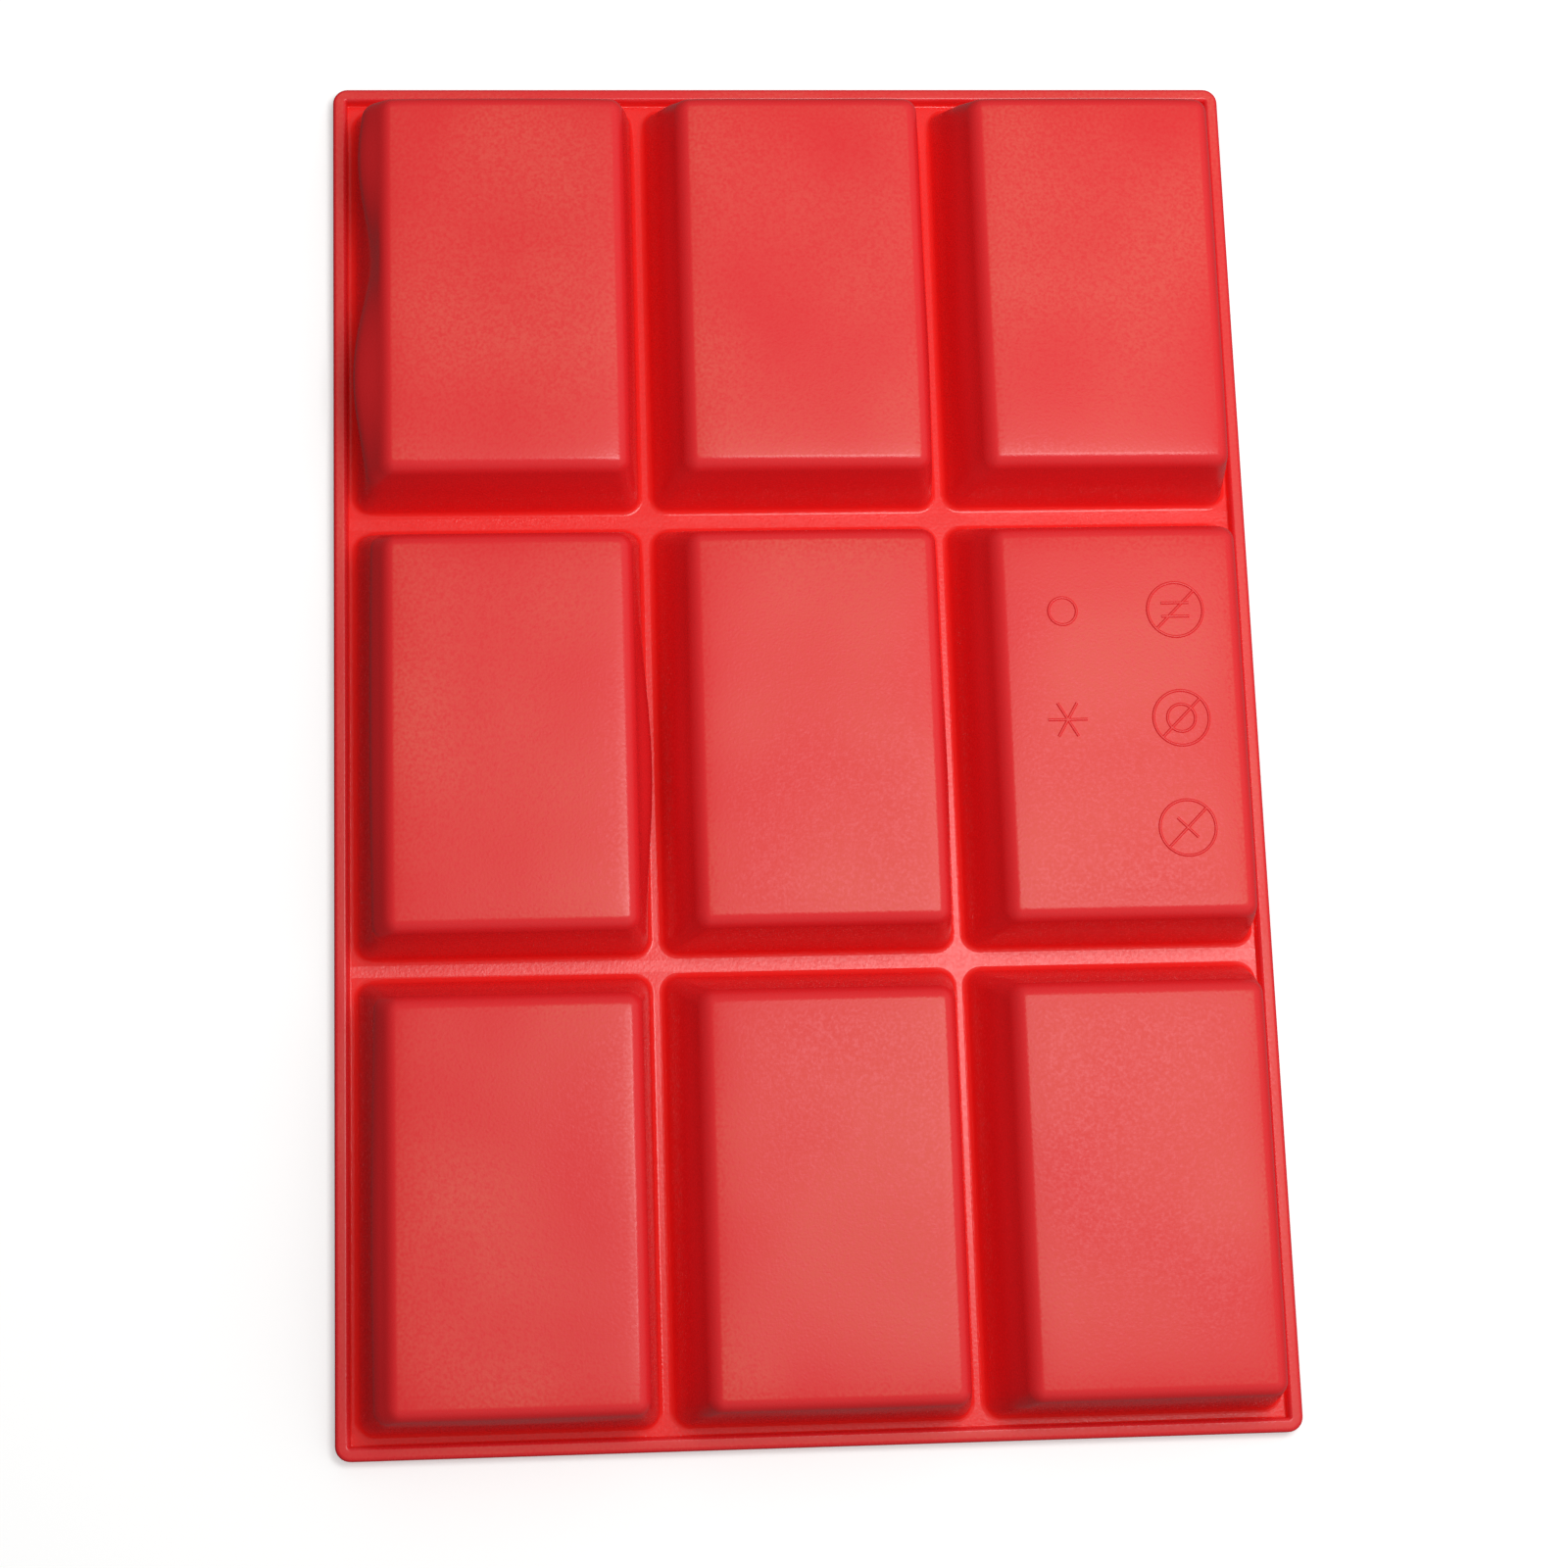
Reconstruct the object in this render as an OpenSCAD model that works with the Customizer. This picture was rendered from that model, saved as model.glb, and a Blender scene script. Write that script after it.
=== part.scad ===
// Silicone soap-bar mould: nine loaf-shaped cups in one flexible sheet, lying with its pour face
// down and its cup floors up. The origin is the middle of the pour face, X runs across the mould,
// Y runs along it from the front row to the rear row, and Z points up to the cup floors.
// The mould is one casting: its nodes meet face to face, and it bends at the two hinge strips.

/* [Cup layout] */
// Distance between the centres of two columns
column_pitch = 64; // [62:0.5:72]
// Distance between the centres of two rows
row_pitch = 97.4; // [97:0.2:110]
// Height of the mould, from the pour face to the outside of the cup floors
mould_h = 23; // [18:0.5:32]

/* [Cup] */
// Width of a cup over its walls, at the sheet
cup_w = 60.7; // [50:0.1:60.8]
// Length of a cup over its walls, at the sheet
cup_l = 92.2; // [80:0.1:92.4]
// Corner radius of a cup in plan, at the sheet
cup_corner_r = 3; // [2:0.1:8]
// Width of the flat part of a cup floor
flat_w = 47.2; // [40:0.1:50]
// Length of the flat part of a cup floor
flat_l = 79.2; // [70:0.1:82]
// Radius of the rounded edge between the floor and the walls
edge_r = 3; // [2:0.1:4]
// Thickness of the walls and floors
wall_t = 1.3; // [1:0.1:1.8]

/* [Sheet and rim] */
// Thickness of the flat sheet that joins the cups
sheet_t = 1.6; // [1.2:0.1:2.5]
// Space from the outer columns to the outside of the rim
side_margin = 4.8; // [4:0.1:10]
// Space from the outer rows to the outside of the rim
end_margin = 5.3; // [4:0.1:10]
// Width of the rim
rim_w = 3; // [2:0.1:3.5]
// Height of the rim above the pour face
rim_h = 4.2; // [3:0.1:6]
// Width of the strip that bends between two rows
strip_w = 4.4; // [3:0.1:4.6]

/* [Care marks] */
// Height of the raised marks
mark_h = 0.3; // [0.2:0.05:0.5]
// Width of the marks' lines
line_w = 0.55; // [0.4:0.05:0.8]
// Outer diameter of the rings
ring_d = 12.4; // [9:0.1:14]
// Distance between two rings
ring_pitch = 23.5; // [16:0.5:26]
// Distance of the rings and of the small marks from the middle of the floor
mark_offset = 12; // [8:0.5:16]

/* [Hidden] */

LEFT = -1;
FRONT = -1;
MIDDLE = 0;
RIGHT = 1;
REAR = 1;
cut = 1;                // how far a cutting shape runs past the face it cuts
floor_plate_t = 0.2;    // keeps the floor's flat at its full size between the rounded corners
facets = 32;
mark_facets = 64;
mark_slope = 45;        // angle of the bars that cross the rings
small_d = ring_d / 2;   // the small ring, and the short bars inside the rings
bars_apart = ring_d / 4;
star_d = 8.6;

outer_w = 2 * column_pitch + cup_w + 2 * side_margin;
outer_l = 2 * row_pitch + cup_l + 2 * end_margin;
inner_w = outer_w - 2 * rim_w;
inner_l = outer_l - 2 * rim_w;

silicone_red = "#d8322e";
strip_red = "#e0504a";
mark_red = "#b8241f";

// Children centred on a cup
module at_cup(column, row) translate([column * column_pitch, row * row_pitch, 0]) children();

// Four posts in the corners of a cup's foot, set in from the outside of the walls
module foot_posts(inset, from_z, to_z) {
    for (x = [-1, 1], y = [-1, 1])
        translate([x * (cup_w / 2 - cup_corner_r), y * (cup_l / 2 - cup_corner_r), from_z])
            cylinder(r = cup_corner_r - inset, h = to_z - from_z, $fn = facets);
}

// Four balls in the corners of a cup's floor and a plate between them
module floor_corners(inset) {
    for (x = [-1, 1], y = [-1, 1])
        translate([x * flat_w / 2, y * flat_l / 2, mould_h - edge_r])
            sphere(r = edge_r - inset, $fn = facets);
    translate([-flat_w / 2, -flat_l / 2, mould_h - inset - floor_plate_t])
        cube([flat_w, flat_l, floor_plate_t]);
}

// Loaf-shaped block: the outside of a cup at inset 0, and the soap bar at inset wall_t
module loaf(inset, from_z) {
    hull() {
        foot_posts(inset, from_z, sheet_t);
        floor_corners(inset);
    }
}

// Upright plug the size of a cup's foot, which cuts its hole in the sheet
module foot_plug() {
    hull() foot_posts(0, -cut, sheet_t + cut);
}

// Box over the whole width and height between two places along the mould
module zone(near, far) {
    translate([-outer_w, near, -cut]) cube([2 * outer_w, far - near, mould_h + 2 * cut]);
}

// Part of the mould that belongs to one row, up to the hinge strips beside it
module row_zone(row) {
    reach = (row_pitch - strip_w) / 2;
    zone(row == FRONT ? -outer_l : row * row_pitch - reach,
         row == REAR ? outer_l : row * row_pitch + reach);
}

// The whole flat sheet inside the rim, without its holes
module sheet_plate() {
    translate([-inner_w / 2, -inner_l / 2, 0]) cube([inner_w, inner_l, sheet_t]);
}

// The whole rim: its outer corners turn about its square inner corners
module rim_ring() {
    difference() {
        union() {
            translate([-outer_w / 2, -inner_l / 2, 0]) cube([outer_w, inner_l, rim_h]);
            translate([-inner_w / 2, -outer_l / 2, 0]) cube([inner_w, outer_l, rim_h]);
            for (x = [-1, 1], y = [-1, 1])
                translate([x * inner_w / 2, y * inner_l / 2, 0]) cylinder(r = rim_w, h = rim_h, $fn = facets);
        }
        translate([-inner_w / 2, -inner_l / 2, -cut]) cube([inner_w, inner_l, rim_h + 2 * cut]);
    }
}

// Flat sheet around one row of cups
module sheet(row) {
    color(silicone_red) difference() {
        intersection() {
            sheet_plate();
            row_zone(row);
        }
        for (column = [LEFT:RIGHT]) at_cup(column, row) foot_plug();
    }
}

// Raised rim along one row
module rim(row) {
    color(silicone_red) intersection() {
        rim_ring();
        row_zone(row);
    }
}

// One cup, open at the pour face
module cup(column, row) {
    color(silicone_red) at_cup(column, row) difference() {
        loaf(0, 0);
        loaf(wall_t, -cut);
    }
}

// Strip of sheet and rim that bends between the middle row and the row on one side of it
module hinge_strip(side) {
    middle = side * row_pitch / 2;
    color(strip_red) intersection() {
        union() {
            sheet_plate();
            rim_ring();
        }
        zone(middle - strip_w / 2, middle + strip_w / 2);
    }
}

// Raised ring
module mark_ring(d) {
    difference() {
        cylinder(d = d, h = mark_h, $fn = mark_facets);
        translate([0, 0, -cut]) cylinder(d = d - 2 * line_w, h = mark_h + 2 * cut, $fn = mark_facets);
    }
}

// Raised bar through the middle of a mark
module mark_bar(length, angle) {
    rotate([0, 0, angle]) translate([-length / 2, -line_w / 2, 0]) cube([length, line_w, mark_h]);
}

// Generic care marks on the floor of the right cup of the middle row: three barred rings at its
// right side, and a small ring and a star at its left side
module care_marks() {
    color(mark_red) at_cup(RIGHT, MIDDLE) translate([0, 0, mould_h]) {
        for (place = [-1:1]) translate([mark_offset, place * ring_pitch, 0]) {
            mark_ring(ring_d);
            mark_bar(ring_d - line_w, mark_slope);
        }
        translate([mark_offset, -ring_pitch, 0]) mark_bar(small_d, -mark_slope);
        translate([mark_offset, 0, 0]) mark_ring(small_d);
        for (y = [-1, 1])
            translate([mark_offset, ring_pitch + y * bars_apart / 2, 0]) mark_bar(small_d, 0);
        translate([-mark_offset, ring_pitch, 0]) mark_ring(small_d);
        translate([-mark_offset, 0, 0]) for (angle = [0:60:120]) mark_bar(star_d, angle);
    }
}

sheet(FRONT);  // sheet_front
sheet(MIDDLE);  // sheet_middle
sheet(REAR);  // sheet_rear
rim(FRONT);  // rim_front
rim(MIDDLE);  // rim_middle
rim(REAR);  // rim_rear
cup(LEFT, FRONT);  // cup_front_left
cup(0, FRONT);  // cup_front_centre
cup(RIGHT, FRONT);  // cup_front_right
cup(LEFT, MIDDLE);  // cup_middle_left
cup(0, MIDDLE);  // cup_middle_centre
cup(RIGHT, MIDDLE);  // cup_middle_right
cup(LEFT, REAR);  // cup_rear_left
cup(0, REAR);  // cup_rear_centre
cup(RIGHT, REAR);  // cup_rear_right
hinge_strip(FRONT);  // hinge_strip_front
hinge_strip(REAR);  // hinge_strip_rear
care_marks();
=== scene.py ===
import bpy
import bmesh
import math
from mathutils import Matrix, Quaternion, Vector, noise
from mathutils.geometry import tessellate_polygon


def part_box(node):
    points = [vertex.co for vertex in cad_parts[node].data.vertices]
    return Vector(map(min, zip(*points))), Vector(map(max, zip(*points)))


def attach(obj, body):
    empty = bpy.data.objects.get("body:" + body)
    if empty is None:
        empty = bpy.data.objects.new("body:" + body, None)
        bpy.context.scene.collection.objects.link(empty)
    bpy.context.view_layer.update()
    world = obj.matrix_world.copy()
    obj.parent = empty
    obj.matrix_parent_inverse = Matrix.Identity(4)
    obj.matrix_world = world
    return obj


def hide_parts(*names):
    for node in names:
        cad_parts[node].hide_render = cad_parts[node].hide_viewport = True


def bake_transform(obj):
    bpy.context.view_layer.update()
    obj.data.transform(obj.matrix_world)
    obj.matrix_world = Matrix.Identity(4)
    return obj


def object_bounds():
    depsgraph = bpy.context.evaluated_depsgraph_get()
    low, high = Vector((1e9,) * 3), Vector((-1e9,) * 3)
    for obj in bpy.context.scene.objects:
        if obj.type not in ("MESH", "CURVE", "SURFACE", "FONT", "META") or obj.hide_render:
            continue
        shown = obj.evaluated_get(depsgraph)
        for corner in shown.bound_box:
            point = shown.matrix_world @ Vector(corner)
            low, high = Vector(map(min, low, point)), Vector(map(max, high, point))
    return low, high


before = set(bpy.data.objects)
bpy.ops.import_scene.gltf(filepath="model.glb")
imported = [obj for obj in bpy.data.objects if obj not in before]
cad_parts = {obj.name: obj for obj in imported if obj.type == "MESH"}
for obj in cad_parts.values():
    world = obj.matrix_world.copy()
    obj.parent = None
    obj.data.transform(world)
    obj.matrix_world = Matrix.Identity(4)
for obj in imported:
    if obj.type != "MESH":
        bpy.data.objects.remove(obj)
cad_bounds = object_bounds()
MM = 0.001


# ---------------------------------------------------------------- Silicone
# The whole mould is one casting of pigmented silicone rubber, pressed in a satin-blasted steel
# tool. It is deep red, and the skin that faces up has a pale bloom painted on it, partly dust
# and partly painted sheen.

def linear(hex_colour):
    """Linear RGBA of an sRGB hex colour."""
    channels = [int(hex_colour[i:i + 2], 16) / 255 for i in (1, 3, 5)]
    return [c / 12.92 if c <= 0.04045 else ((c + 0.055) / 1.055) ** 2.4 for c in channels] + [1]


def add_node(tree, kind, inputs=None, **settings):
    """A new node with its settings; inputs maps a socket to a value or to another node's output."""
    made = tree.nodes.new(kind)
    for name, value in settings.items():
        setattr(made, name, value)
    for socket, value in (inputs or {}).items():
        if isinstance(value, bpy.types.NodeSocket):
            tree.links.new(value, made.inputs[socket])
        else:
            made.inputs[socket].default_value = value
    return made


def moulded_silicone(name):
    """Silicone rubber, moulded: deep red walls without dust, and where it faces up satin, with dust and
    a painted sheen.
    """
    # The pale dust colour is partly dust and partly a painted sheen of the overhead light on level
    # faces.
    pigment, deep_pigment, dust_and_sheen, web_red_painted_brighter = "#f42b30", "#f0272c", "#ffb890", "#ff302c"
    silicone_ior = 1.41
    shade_size, patch_size = 45 * MM, 32 * MM
    speck_size = 0.7 * MM       # real specks are about 0.1 mm; drawn coarser so that they show
    grain_size, grain_depth = 0.6 * MM, 0.032 * MM
    ripple_size, ripple_depth, ripple_share = 9 * MM, 0.06 * MM, 0.5
    web_top, wall_clear = 1.7 * MM, 4 * MM      # below the first: no dust or painted sheen, and a red painted brighter as painted light; above the second: full dust and sheen
    material = bpy.data.materials.new(name)
    material.use_nodes = True
    tree = material.node_tree
    shader = tree.nodes["Principled BSDF"]
    spot = add_node(tree, "ShaderNodeTexCoord")
    place = spot.outputs["Object"]
    upward = add_node(tree, "ShaderNodeSeparateXYZ", {"Vector": spot.outputs["Normal"]}).outputs["Z"]
    height = add_node(tree, "ShaderNodeSeparateXYZ", {"Vector": place}).outputs["Z"]
    shades, patches, specks, grain, ripple = [
        add_node(tree, "ShaderNodeTexNoise",
                 {"Vector": place, "Scale": 1 / size, "Detail": detail}).outputs["Fac"]
        for size, detail in ((shade_size, 2), (patch_size, 1), (speck_size, 3),
                             (grain_size, 2), (ripple_size, 1))]
    faces_up, dust_and_sheen_in_patches, dust_and_sheen_in_specks, in_webs, roughness, rough_floors, smooth_webs = [
        add_node(tree, "ShaderNodeMapRange",
                 {"Value": value, "From Min": low, "From Max": high,
                  "To Min": at_low, "To Max": at_high}).outputs["Result"]
        for value, low, high, at_low, at_high in (
            (upward, 0.965, 0.992, 0, 1),           # dust and painted sheen lie only on what is nearly level
            (patches, 0.3, 0.7, 0.02, 0.1),         # share of dust and painted sheen, patch by patch
            (specks, 0.35, 0.65, 0.5, 1.5),         # and speck by speck
            (height, web_top, wall_clear, 1, 0),    # the webs and the gutter: no dust or sheen, and a red painted brighter as painted light
            (specks, 0.35, 0.65, 0.35, 0.5),        # roughness of the blasted skin
            (upward, 0.985, 0.998, 0.6, 1),         # walls and edges are glossier than floors
            (height, web_top, wall_clear, 0.6, 1))]  # and so are the webs

    # Dust and painted sheen: a pale colour painted on level faces, varied in patches and specks.
    level_dust_and_sheen = add_node(tree, "ShaderNodeMath", {0: faces_up, 1: dust_and_sheen_in_patches},
                          operation="MULTIPLY").outputs[0]
    dust_and_sheen_share = add_node(tree, "ShaderNodeMath", {0: level_dust_and_sheen, 1: dust_and_sheen_in_specks},
                     operation="MULTIPLY").outputs[0]
    colour = linear(pigment)
    # The last mix paints the webs and the gutter a brighter red without dust: painted light.
    for share, other in ((shades, deep_pigment), (dust_and_sheen_share, dust_and_sheen), (in_webs, web_red_painted_brighter)):
        colour = add_node(tree, "ShaderNodeMix", {"Factor": share, 6: colour, 7: linear(other)},
                          data_type="RGBA").outputs["Result"]
    tree.links.new(colour, shader.inputs["Base Color"])

    for polish in (rough_floors, smooth_webs):
        roughness = add_node(tree, "ShaderNodeMath", {0: roughness, 1: polish},
                             operation="MULTIPLY").outputs[0]
    tree.links.new(roughness, shader.inputs["Roughness"])

    skin = add_node(tree, "ShaderNodeBump", {"Height": grain, "Strength": 1,
                    "Distance": grain_depth}).outputs["Normal"]
    skin = add_node(tree, "ShaderNodeBump", {"Height": ripple, "Strength": ripple_share,
                    "Distance": ripple_depth, "Normal": skin}).outputs["Normal"]
    tree.links.new(skin, shader.inputs["Normal"])
    shader.inputs["IOR"].default_value = silicone_ior
    return material


silicone = moulded_silicone("red silicone, satin moulded")


# ---------------------------------------------------------------- Cups
# Nine loaf-shaped cups stand on the sheet, floors up. Each is a thin drafted shell with a round
# edge at its floor and a small fillet at its foot. The soft walls bulge and the floors crown.

def piece(name, points, faces, body, *cad_nodes):
    """A smooth closed mesh of silicone that rides on a body and stands for CAD nodes."""
    sharp_angle = math.radians(40)
    mesh = bpy.data.meshes.new(name)
    mesh.from_pydata(points, [], faces)
    shape = bmesh.new()
    shape.from_mesh(mesh)
    bmesh.ops.recalc_face_normals(shape, faces=shape.faces)
    shape.to_mesh(mesh)
    shape.free()
    mesh.polygons.foreach_set("use_smooth", [True] * len(mesh.polygons))
    mesh.set_sharp_from_angle(angle=sharp_angle)
    mesh.materials.append(silicone)
    made = bpy.data.objects.new(name, mesh)
    bpy.context.scene.collection.objects.link(made)
    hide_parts(*cad_nodes)
    if body:
        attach(made, body)
    return made


def ring_of(half_w, half_l, corner_r, z):
    """Points round a rounded rectangle. Every ring has as many, so rings join point to point."""
    side_steps = (34, 22, 34, 22)       # right, rear, left and front side
    corner_steps = 8
    corners = [(1, 1), (-1, 1), (-1, -1), (1, -1)]
    points = []
    for side, (x_way, y_way) in enumerate(corners):
        centre = Vector((x_way * (half_w - corner_r), y_way * (half_l - corner_r)))
        start_angle = side * math.pi / 2
        start = centre + corner_r * Vector((math.cos(start_angle), math.sin(start_angle)))
        before = Vector((half_w, -half_l + corner_r)) if side == 0 else points[-1].xy
        points += [before.lerp(start, k / side_steps[side]).to_3d() for k in range(1, side_steps[side])]
        for k in range(corner_steps + 1):
            angle = start_angle + k / corner_steps * math.pi / 2
            points.append((centre + corner_r * Vector((math.cos(angle), math.sin(angle)))).to_3d())
    return [Vector((p.x, p.y, z)) for p in points]


def centre_of(node):
    """Point of the pour face under the middle of a CAD node."""
    low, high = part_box(node)
    return Vector(((low.x + high.x) / 2, (low.y + high.y) / 2, 0))


def smooth_step(low, high, value):
    """0 below low, 1 above high, and a smooth rise between them."""
    t = min(1, max(0, (value - low) / (high - low)))
    return t * t * (3 - 2 * t)


sheet_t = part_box("sheet_middle")[1].z
mould_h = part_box("cup_middle_centre")[1].z
foot = (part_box("cup_middle_centre")[1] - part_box("cup_middle_centre")[0]) / 2
foot_corner_r = 3 * MM
flat = Vector((23.6, 39.6)) * MM            # half the flat part of a floor
edge_r, wall_t = 3 * MM, 1.3 * MM
fillet_r, mouth_r = 1.15 * MM, 0.5 * MM     # at the foot outside, and at the mouth inside
flat_corner_r = 0.5 * MM                    # the flat's own corners are nearly sharp
crown, uneven = 0.35 * MM, 0.5 * MM         # fall of a floor towards its sides, and its waves
wave_size = 32 * MM
fillet_steps, wall_steps, edge_steps, floor_steps, mouth_steps = 6, 12, 9, 12, 4


def arc(centre, radius, start, end, steps):
    """Points of (set-in, height) along an arc, angles in radians."""
    angles = [start + k / steps * (end - start) for k in range(steps + 1)]
    return [centre + radius * Vector((math.cos(a), math.sin(a))) for a in angles]


def between(start, end, steps):
    """Points inside a straight stretch."""
    return [start.lerp(end, k / steps) for k in range(1, steps)]


def draft_of(edge_centre, edge_radius, foot_centre, foot_radius):
    """Angle from upright of the wall that touches the floor's edge round and the foot's round."""
    across = foot_centre - edge_centre
    return math.acos((edge_radius + foot_radius) / across.length) + math.atan2(across.y, across.x)


def outer_profile(set_in):
    """Foot, wall and edge as points of (outset, height), from the sheet up to the floor."""
    edge_centre = Vector((-set_in, mould_h - edge_r))
    foot_centre = Vector((fillet_r, sheet_t + fillet_r))
    draft = draft_of(edge_centre, edge_r, foot_centre, fillet_r)
    foot_arc = arc(foot_centre, fillet_r, -math.pi / 2, -math.pi + draft, fillet_steps)
    edge_arc = arc(edge_centre, edge_r, draft, math.pi / 2, edge_steps)
    return foot_arc + between(foot_arc[-1], edge_arc[0], wall_steps) + edge_arc


def inner_profile(set_in):
    """Mouth, wall and edge of the cavity, from the pour face up to the floor."""
    edge_centre = Vector((-set_in, mould_h - edge_r))
    foot_centre = Vector((fillet_r, sheet_t + fillet_r))
    draft = draft_of(edge_centre, edge_r, foot_centre, fillet_r)
    out = Vector((math.cos(draft), math.sin(draft)))
    reach = edge_centre.dot(out) + edge_r - wall_t + mouth_r
    mouth_centre = Vector(((reach - mouth_r * out.y) / out.x, mouth_r))
    mouth_arc = arc(mouth_centre, mouth_r, -math.pi / 2, -math.pi + draft, mouth_steps)
    edge_arc = arc(edge_centre, edge_r - wall_t, draft, math.pi / 2, edge_steps)
    return mouth_arc + between(mouth_arc[-1], edge_arc[0], wall_steps) + edge_arc


def rings_of(profile, corner_low, corner_high):
    """Rings from the foot to the middle of the floor.

    Corners go from corner_low at the foot to corner_high below the edge, and tighten over it.
    """
    side_profile, end_profile = profile(foot.x - flat.x), profile(foot.y - flat.y)
    low, top = side_profile[0].y, side_profile[-1].y
    edge_low = side_profile[-1 - edge_steps].y
    rings = []
    for side, end in zip(side_profile, end_profile):
        z = side.y
        if z <= edge_low:
            climb = (z - low) / (edge_low - low)
            corner = corner_low + (corner_high - corner_low) * climb + max(0, side.x)
        else:
            climb = (z - edge_low) / (top - edge_low)
            corner = corner_high * math.sqrt(max(0, 1 - climb ** 2))
        rings.append(ring_of(foot.x + side.x, foot.y + end.x, max(corner, flat_corner_r), z))
    for step in range(1, floor_steps):
        size = 1 - step / floor_steps
        rings.append(ring_of(flat.x * size, flat.y * size, flat_corner_r * size, top))
    return rings


# Bulges of the soft walls: side, place along it from -1 to 1, half its length in that measure,
# height from 0 at the sheet to 1 at the floor, half its height, and how far it stands out in mm.
BULGES = {
    ("rear", "left"): [("left", -0.42, 0.42, 0.64, 0.22, 3.8), ("left", 0.66, 0.34, 0.68, 0.20, 2.9),
                       ("left", 0.14, 0.20, 0.60, 0.30, -0.8), ("right", 0.1, 0.7, 0.5, 0.3, 0.4)],
    ("middle", "left"): [("left", 0.0, 1.6, 0.76, 0.12, 1.4), ("right", -0.15, 0.55, 0.42, 0.26, 2.2)],
    ("front", "left"): [("left", -0.2, 1.4, 0.78, 0.12, 1.6), ("front", 0.0, 0.9, 0.7, 0.15, 0.5)],
    ("rear", "centre"): [("left", 0.2, 0.6, 0.5, 0.3, 0.4), ("right", -0.3, 0.5, 0.5, 0.3, 0.5)],
    ("middle", "centre"): [("left", -0.2, 0.6, 0.5, 0.3, 0.4), ("right", -0.2, 0.5, 0.4, 0.3, 0.7)],
    ("front", "centre"): [("left", 0.1, 0.7, 0.5, 0.3, 0.4), ("front", 0.1, 0.8, 0.65, 0.2, 0.4)],
    ("rear", "right"): [("left", -0.1, 0.6, 0.45, 0.3, 0.5), ("right", 0.2, 0.6, 0.5, 0.3, 0.6)],
    ("middle", "right"): [("left", 0.3, 0.5, 0.5, 0.3, 0.5), ("right", -0.3, 0.6, 0.5, 0.3, 0.6)],
    ("front", "right"): [("left", 0.0, 0.6, 0.5, 0.3, 0.4), ("front", -0.1, 0.8, 0.6, 0.2, 0.4)],
}
SIDES = {"left": (-1, 0), "right": (1, 0), "front": (0, -1), "rear": (0, 1)}
# How far a column's floors stand off to the right, and a row's to the rear (minus: to the front), in mm.
LEANS = {"left": 2.2, "centre": 2.4, "right": 2.6, "front": -2.0, "middle": -1.7, "rear": -0.8}


def lean_of(row, column):
    """How far a cup's floor stands off from over its foot."""
    return Vector((LEANS[column], LEANS[row], 0)) * MM


def floor_fall(x, y, cup_centre):
    """How far a soft floor lies below its highest level: pillowed at the sides, slowly waved."""
    side_power, end_power, most_pillow = 7, 9, 3
    pillow = abs(x / flat.x) ** side_power + abs(y / flat.y) ** end_power
    wave = 0.5 - 0.5 * noise.noise(Vector((x + cup_centre.x, y + cup_centre.y, 0)) / wave_size)
    return crown * min(pillow, most_pillow) + uneven * wave


def soften(point, bulges, lean, cup_centre):
    """Moves a point of a cup as the soft rubber has: bulged walls, crowned floor and a lean."""
    held_foot, held_edge = (0.02, 0.2), (0.84, 0.99)    # heights over which a wall is held still
    near_side, near_floor = (0.35, 0.8), (0.5, 0.9)
    x, y, z = point
    height = (z - sheet_t) / (mould_h - sheet_t)
    on_wall = smooth_step(*held_foot, height) * (1 - smooth_step(*held_edge, height))
    push = Vector((0, 0, 0))
    for side, place, half_length, level, half_height, amount in bulges:
        way = Vector(SIDES[side])
        out = way.x * x / foot.x + way.y * y / foot.y
        along = (abs(way.y) * x / foot.x + abs(way.x) * y / foot.y - place) / half_length
        up = (height - level) / half_height
        share = smooth_step(*near_side, out) * on_wall * math.exp(-along ** 2 - up ** 2)
        push += way.to_3d() * amount * MM * share
    push.z -= floor_fall(x, y, cup_centre) * smooth_step(*near_floor, height)
    return point + push + lean * max(0, height)


def join_rings(first, count, rings):
    """Faces between rings of count points that start at number first."""
    faces = []
    for ring in range(rings - 1):
        for k in range(count):
            here, there = first + ring * count, first + (ring + 1) * count
            faces.append((here + k, here + (k + 1) % count, there + (k + 1) % count, there + k))
    return faces


def loaf_cup(row, column):
    """A cup's shell: the outside and the cavity, closed by the thin edge at the foot."""
    node = f"cup_{row}_{column}"
    centre = centre_of(node)
    looks = BULGES[row, column], lean_of(row, column), centre
    flange = [ring_of(foot.x + fillet_r, foot.y + fillet_r, foot_corner_r + fillet_r, 0)]
    outside = rings_of(outer_profile, foot_corner_r, edge_r)
    inside = flange + rings_of(inner_profile, foot_corner_r - wall_t, edge_r - wall_t)
    count = len(flange[0])
    points = [soften(p, *looks) for ring in outside for p in ring]
    points.append(soften(Vector((0, 0, outside[-1][0].z)), *looks))
    inner_first = len(points)
    points += [soften(p, *looks) for ring in inside for p in ring]
    points.append(soften(Vector((0, 0, inside[-1][0].z)), *looks))
    faces = join_rings(0, count, len(outside)) + join_rings(inner_first, count, len(inside))
    for first, rings in ((0, len(outside)), (inner_first, len(inside))):
        last, middle = first + (rings - 1) * count, first + rings * count
        faces += [(last + k, last + (k + 1) % count, middle) for k in range(count)]
    for k in range(count):
        following = (k + 1) % count
        faces.append((k, following, inner_first + following, inner_first + k))
    piece(node + "_shell", [p + centre for p in points], faces, row + "_row", node)


ROWS, COLUMNS = ("front", "middle", "rear"), ("left", "centre", "right")
for row in ROWS:
    for column in COLUMNS:
        loaf_cup(row, column)


# ---------------------------------------------------------------- Sheet
# A flat sheet of the same rubber joins the cups' feet. It is 1.6 mm thick and shows as narrow
# webs between the cups and as a gutter inside the rim.

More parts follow.
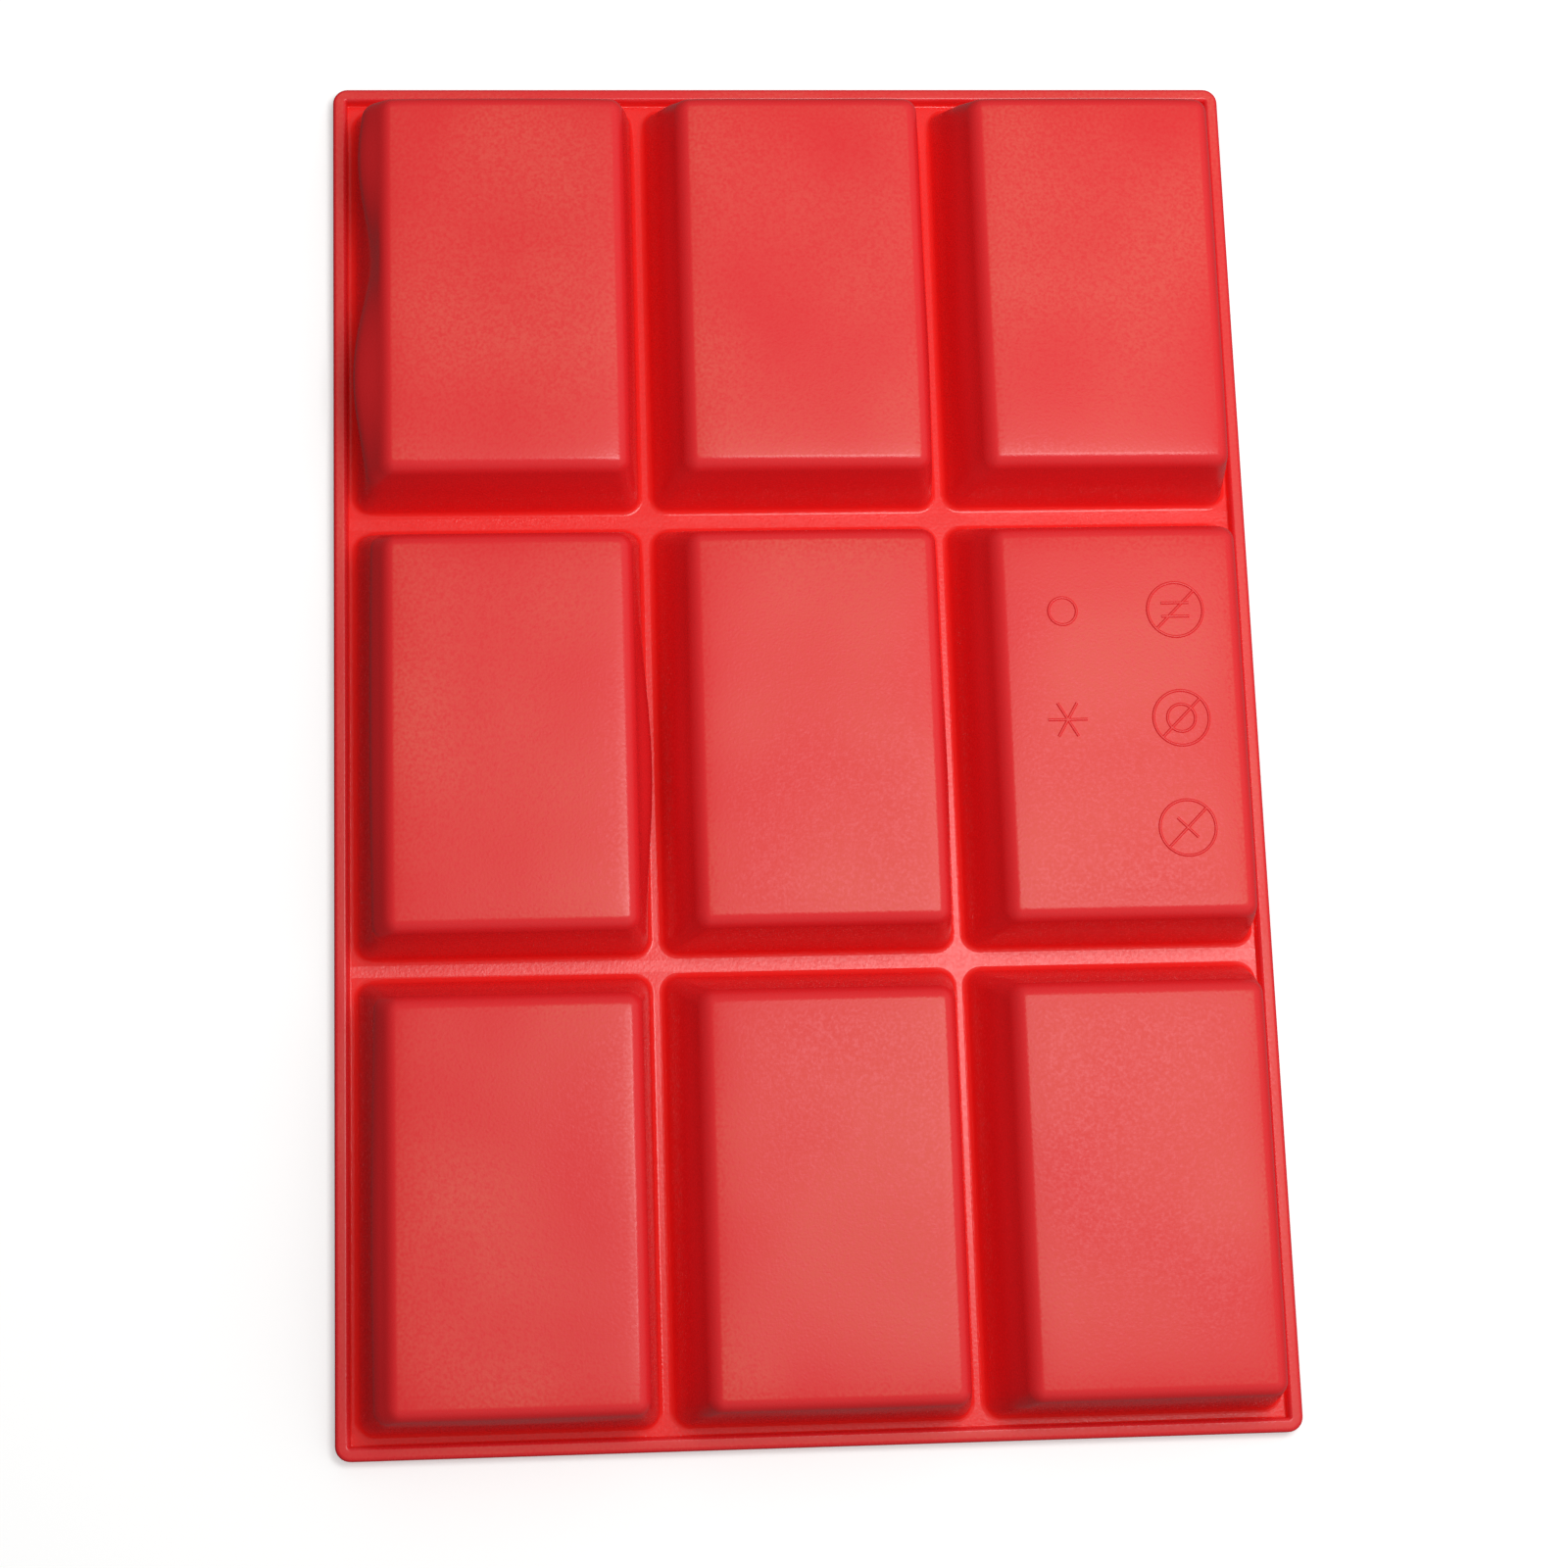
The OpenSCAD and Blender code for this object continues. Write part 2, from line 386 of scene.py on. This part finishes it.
half_outer = cad_bounds[1].xy
rim_w, rim_fillet_r = 3 * MM, 0.35 * MM
half_plate = half_outer - Vector((1, 1)) * (rim_w + rim_fillet_r)
strip_middle = (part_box("hinge_strip_rear")[0].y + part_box("hinge_strip_rear")[1].y) / 2
strip_half = 1.2 * MM
row_ends = {"front": (-half_plate.y, -strip_middle - strip_half),
            "middle": (-strip_middle + strip_half, strip_middle - strip_half),
            "rear": (strip_middle + strip_half, half_plate.y)}


def sheet_panel(row):
    """The flat sheet round a row's three cups, with a hole for each."""
    near, far = row_ends[row]
    outline = [Vector((x, y, 0)) for x, y in ((-half_plate.x, near), (half_plate.x, near),
                                              (half_plate.x, far), (-half_plate.x, far))]
    loops = [outline]
    for column in COLUMNS:
        centre = centre_of(f"cup_{row}_{column}")
        hole = ring_of(foot.x + fillet_r, foot.y + fillet_r, foot_corner_r + fillet_r, 0)
        loops.append([p + centre for p in hole])
    flat_points = [p for loop in loops for p in loop]
    count = len(flat_points)
    points = flat_points + [p + Vector((0, 0, sheet_t)) for p in flat_points]
    faces = []
    for triangle in tessellate_polygon(loops):
        faces += [tuple(triangle), tuple(k + count for k in triangle)]
    first = 0
    for loop in loops:
        for k in range(len(loop)):
            here, following = first + k, first + (k + 1) % len(loop)
            faces.append((here, following, following + count, here + count))
        first += len(loop)
    piece(f"sheet_{row}_panel", points, faces, row + "_row", "sheet_" + row)


for row in ROWS:
    sheet_panel(row)


# ---------------------------------------------------------------- Rim
# A low bead runs round the sheet's edge and stiffens it. It is moulded with the sheet, stands up
# on the same side as the cups and has a rounded top and square inner corners.

rim_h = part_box("rim_front")[1].z
rim_top_r, rim_foot_r = 0.9 * MM, 0.3 * MM
rim_corner_r, sharpest_corner_r, turn_steps = 3.2 * MM, 0.1 * MM, 8


def rim_profile():
    """Closed outline of (set-in from the outside, height)."""
    quarter = math.pi / 2
    foot_steps, top_steps, hollow_steps = 3, 7, 5
    inner_edge = rim_w + rim_fillet_r
    outer_foot = Vector((rim_foot_r, rim_foot_r))
    outer_top = Vector((rim_top_r, rim_h - rim_top_r))
    inner_top = Vector((rim_w - rim_top_r, rim_h - rim_top_r))
    hollow = Vector((inner_edge, sheet_t + rim_fillet_r))
    return (arc(outer_foot, rim_foot_r, -quarter, -2 * quarter, foot_steps)
            + arc(outer_top, rim_top_r, 2 * quarter, quarter, top_steps)
            + arc(inner_top, rim_top_r, quarter, 0, top_steps)
            + arc(hollow, rim_fillet_r, 2 * quarter, 3 * quarter, hollow_steps)
            + [Vector((inner_edge, 0))])


def end_path(set_in, cut_y):
    """Line of the rim round the front end, from the left cut to the right cut."""
    half_w, near = half_outer.x - set_in, -half_outer.y + set_in
    corner = max(rim_corner_r - set_in, sharpest_corner_r)
    left = Vector((-half_w + corner, near + corner))
    right = Vector((half_w - corner, near + corner))
    left_turn = arc(left, corner, math.pi, 1.5 * math.pi, turn_steps)
    right_turn = arc(right, corner, 1.5 * math.pi, 2 * math.pi, turn_steps)
    return [Vector((-half_w, cut_y))] + left_turn + right_turn + [Vector((half_w, cut_y))]


def loft(rows_of_points):
    """Points and faces of a bar whose cross-section is a closed line, with capped ends."""
    count = len(rows_of_points[0])
    points = [p for ring in rows_of_points for p in ring]
    faces = join_rings(0, count, len(rows_of_points))
    last = len(points) - count
    return points, faces + [tuple(range(count)), tuple(range(last, last + count))]


profile = rim_profile()
paths = [end_path(p.x, row_ends["front"][1]) for p in profile]
for row, y_way in (("front", 1), ("rear", -1)):
    rings = [[Vector((path[k].x, path[k].y * y_way, p.y)) for path, p in zip(paths, profile)]
             for k in range(len(paths[0]))]
    piece(f"rim_{row}_bead", *loft(rings), row + "_row", "rim_" + row)

bar_points, bar_faces = [], []
for x_way in (-1, 1):
    rings = [[Vector((x_way * (half_outer.x - p.x), y, p.y)) for p in profile]
             for y in row_ends["middle"]]
    points, faces = loft(rings)
    bar_faces += [tuple(k + len(bar_points) for k in face) for face in faces]
    bar_points += points
piece("rim_middle_beads", bar_points, bar_faces, "middle_row", "rim_middle")


# ---------------------------------------------------------------- Hinge strips
# Between two rows only the thin sheet and the rim cross over, so the mould bends there when a
# row is lifted. Each strip is the same cross-section as the sheet with its rim, side to side.

bend_steps = 10
half_section = [Vector((half_outer.x - p.x, p.y)) for p in profile]
section = [Vector((-p.x, p.y)) for p in half_section[:-1]] + half_section[-2::-1]
for name, y_way in (("front", -1), ("rear", 1)):
    middle = y_way * strip_middle
    start, end = middle - y_way * strip_half, middle + y_way * strip_half
    rings = [[Vector((p.x, start + k / bend_steps * (end - start), p.y)) for p in section]
             for k in range(bend_steps + 1)]
    strip = piece(f"hinge_strip_{name}_web", *loft(rings), None, "hinge_strip_" + name)
    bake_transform(strip)


# ---------------------------------------------------------------- Care marks
# Small generic care marks stand up from one floor as thin ribs, cut into the tool: three rings
# with a bar at one side, a small ring and a star at the other.

ring_r, ring_pitch, mark_offset = 5.9 * MM, 23.5 * MM, 12 * MM
rib_half_w, rib_h, rib_sink = 0.32 * MM, 0.24 * MM, 0.15 * MM
arch_steps, bar_steps, ring_steps = 6, 8, 48
mark_centre = centre_of("cup_middle_right")
mark_lean = lean_of("middle", "right")
arch_angles = [math.pi * (1 - k / arch_steps) for k in range(arch_steps + 1)]
arch = [(math.cos(angle), math.sin(angle)) for angle in arch_angles]
rib_section = [(-1, -rib_sink / rib_h)] + arch + [(1, -rib_sink / rib_h)]
mark_points, mark_faces = [], []


def rib(line, closed):
    """A thin raised rib along a line on the floor, round on top."""
    rings = []
    for k, here in enumerate(line):
        before = line[k - 1] if closed or k > 0 else here
        after = line[(k + 1) % len(line)] if closed or k < len(line) - 1 else here
        way = (after - before).normalized()
        across = Vector((way.y, -way.x))
        ring = []
        for side, up in rib_section:
            at = here + across * side * rib_half_w
            level = mould_h - floor_fall(at.x, at.y, mark_centre)
            ring.append(Vector((at.x, at.y, level + up * rib_h)) + mark_centre + mark_lean)
        rings.append(ring)
    if closed:
        rings.append(rings[0])
    points, faces = loft(rings)
    if closed:
        faces = faces[:-2]
    mark_faces.extend(tuple(k + len(mark_points) for k in face) for face in faces)
    mark_points.extend(points)


def mark_ring(x, y, radius):
    angles = [k / ring_steps * 2 * math.pi for k in range(ring_steps)]
    rib([Vector((x, y)) + radius * Vector((math.cos(a), math.sin(a))) for a in angles], closed=True)


def mark_bar(x, y, length, degrees):
    """A straight rib with its middle at x, y."""
    angle = math.radians(degrees)
    half = Vector((math.cos(angle), math.sin(angle))) * length / 2
    rib([Vector((x, y)) + half * (2 * k / bar_steps - 1) for k in range(bar_steps + 1)], closed=False)


for place in (-1, 0, 1):
    mark_ring(mark_offset, place * ring_pitch, ring_r)
    mark_bar(mark_offset, place * ring_pitch, 2 * ring_r, 45)
mark_bar(mark_offset, -ring_pitch, ring_r, -45)
mark_ring(mark_offset, 0, ring_r / 2)
for y_way in (-1, 1):
    mark_bar(mark_offset, ring_pitch + y_way * ring_r / 4, ring_r, 0)
mark_ring(-mark_offset, ring_pitch, ring_r / 2)
star_w = 1.4 * ring_r
for degrees in (0, 60, 120):
    mark_bar(-mark_offset, 0, star_w, degrees)
piece("care_marks_ribs", mark_points, mark_faces, "middle_row", "care_marks")


# ---------------------------------------------------------------- Floor, light and camera
# The mould lies on a plain white floor under one soft light overhead and a little to the right.
# The room round it is pale, and brighter overhead and at the right than at the left.

floor_size, floor_drop = 6.0, 0.02 * MM
bpy.ops.mesh.primitive_plane_add(size=floor_size, location=(0, 0, -floor_drop))
floor = bpy.context.object
floor.name = "floor"
paper = bpy.data.materials.new("matt white paper")
paper.use_nodes = True
paper_shader = paper.node_tree.nodes["Principled BSDF"]
paper_shader.inputs["Base Color"].default_value = linear("#fdfdfc")
paper_shader.inputs["Roughness"].default_value = 0.9
paper_shader.inputs["Emission Color"].default_value = linear("#ffffff")
paper_shader.inputs["Emission Strength"].default_value = 0.32
floor.data.materials.append(paper)
# The white floor isn't mirrored in the mould and throws no light up its walls.
floor.visible_glossy, floor.visible_diffuse = False, False

world = bpy.data.worlds.new("white room")
bpy.context.scene.world = world
world.use_nodes = True
sky = world.node_tree
ray = add_node(sky, "ShaderNodeTexCoord").outputs["Generated"]
ray_parts = add_node(sky, "ShaderNodeSeparateXYZ", {"Vector": ray})
rise, across = [
    add_node(sky, "ShaderNodeMapRange",
             {"Value": ray_parts.outputs[axis], "From Min": low, "From Max": high,
              "To Min": at_low, "To Max": at_high}).outputs["Result"]
    for axis, low, high, at_low, at_high in (
        ("Z", -0.05, 0.7, 0.14, 0.6),       # horizon to overhead
        ("X", -0.9, 0.9, 0.35, 1.5))]       # left to right
level = add_node(sky, "ShaderNodeMath", {0: rise, 1: across}, operation="MULTIPLY").outputs[0]
sky.links.new(level, sky.nodes["Background"].inputs["Strength"])
sky.nodes["Background"].inputs["Color"].default_value = linear("#ffffff")

softbox_side, softbox_power = 0.3, 2.35
softbox_place, softbox_aim = Vector((0.16, 0.05, 0.7)), Vector((0.3, 0.4, 0))
softbox = bpy.data.lights.new("overhead softbox", "AREA")
softbox.shape = "RECTANGLE"
softbox.size, softbox.size_y = softbox_side, softbox_side
softbox.energy = softbox_power
softbox_object = bpy.data.objects.new("overhead softbox", softbox)
softbox_object.location = softbox_place
softbox_object.rotation_euler = (softbox_aim - softbox_place).to_track_quat("-Z", "Y").to_euler()
bpy.context.scene.collection.objects.link(softbox_object)

look_at = Vector((-3.8 * MM, -9.9 * MM, sheet_t))
azimuth, elevation, roll = math.radians(-19.1), math.radians(77.0), math.radians(17.7)
distance, focal_length, sensor_width = 671 * MM, 72.06, 36
level_part = math.cos(elevation)
back = Vector((math.sin(azimuth) * level_part, -math.cos(azimuth) * level_part, math.sin(elevation)))
lens = bpy.data.cameras.new("camera")
lens.lens = focal_length
lens.sensor_width = sensor_width
camera = bpy.data.objects.new("camera", lens)
camera.location = look_at + back * distance
camera.rotation_mode = "QUATERNION"
camera.rotation_quaternion = (-back).to_track_quat("-Z", "Y") @ Quaternion((0, 0, 1), roll)
bpy.context.scene.collection.objects.link(camera)
bpy.context.scene.camera = camera
bpy.context.scene.view_settings.view_transform = "Standard"
